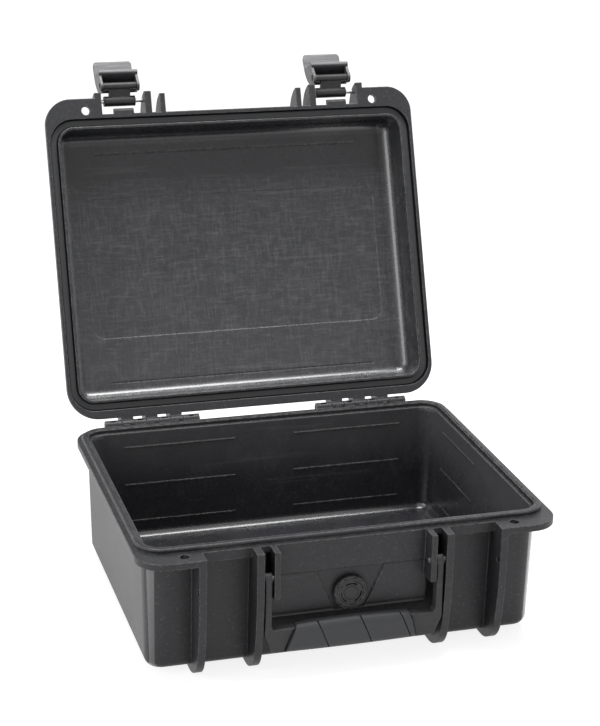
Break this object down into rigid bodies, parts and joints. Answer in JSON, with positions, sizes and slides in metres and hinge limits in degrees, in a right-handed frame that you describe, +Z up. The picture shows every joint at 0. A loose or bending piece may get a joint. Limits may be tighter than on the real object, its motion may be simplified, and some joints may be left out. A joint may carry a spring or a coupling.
{
  "type": "waterproof hard case",
  "caption": "Waterproof moulded hard case, shown open: hinged lid with gasket groove, twin two-piece draw latches, folding carry handle and a pressure valve between vertical ribs.",
  "frame": {"origin": "on the surface the case stands on, under the middle of the base's flange", "axes": "+X to the right seen from the front, +Y to the hinges at the back, +Z up"},
  "size_m": [0.3986, 0.5169, 0.4685],
  "materials": {
    "shell": "satin moulded polypropylene, fine grain",
    "latch": "satin moulded nylon",
    "grip": "soft rubber overmould",
    "gasket": "soft seal strip",
    "pin": "plain stainless pin",
    "valve": "satin moulded",
    "membrane": "porous film"
  },
  "bodies": {
    "base": {"base_shell": "shell", "hinge_pin_right": "pin", "hinge_pin_left": "pin", "handle_pin_right": "pin", "handle_pin_left": "pin", "valve_body": "valve", "valve_cap": "valve", "valve_membrane": "membrane", "valve_seal": "gasket", "valve_nut": "valve"},
    "lid": {"lid_shell": "shell", "lid_gasket": "gasket", "latch_pin_right": "pin", "latch_pin_left": "pin"},
    "right_link": {"latch_link_right": "latch"},
    "left_link": {"latch_link_left": "latch"},
    "right_lever": {"latch_lever_right": "latch"},
    "left_lever": {"latch_lever_left": "latch"},
    "handle": {"handle_frame": "latch", "handle_grip": "grip"}
  },
  "joints": [
    {"name": "lid_hinge", "type": "hinge", "parent": "base", "child": "lid", "pos_m": [0, 0.17375, 0.1243], "axis": [1, 0, 0], "range_deg": [0, 111]},
    {"name": "right_latch_link", "type": "hinge", "parent": "lid", "child": "right_link", "pos_m": [0.11385, 0.30916, 0.43437], "axis": [1, 0, 0], "range_deg": [0, 88]},
    {"name": "left_latch_link", "type": "hinge", "parent": "lid", "child": "left_link", "pos_m": [-0.11755, 0.30916, 0.43437], "axis": [1, 0, 0], "range_deg": [0, 88]},
    {"name": "right_latch_lever", "type": "hinge", "parent": "right_link", "child": "right_lever", "pos_m": [0.11385, 0.30815, 0.45079], "axis": [1, 0, 0], "range_deg": [0, 49]},
    {"name": "left_latch_lever", "type": "hinge", "parent": "left_link", "child": "left_lever", "pos_m": [-0.11755, 0.30815, 0.45079], "axis": [1, 0, 0], "range_deg": [0, 49]},
    {"name": "handle_swing", "type": "hinge", "parent": "base", "child": "handle", "pos_m": [0, -0.15965, 0.0986], "axis": [-1, 0, 0], "range_deg": [0, 95]}
  ]
}
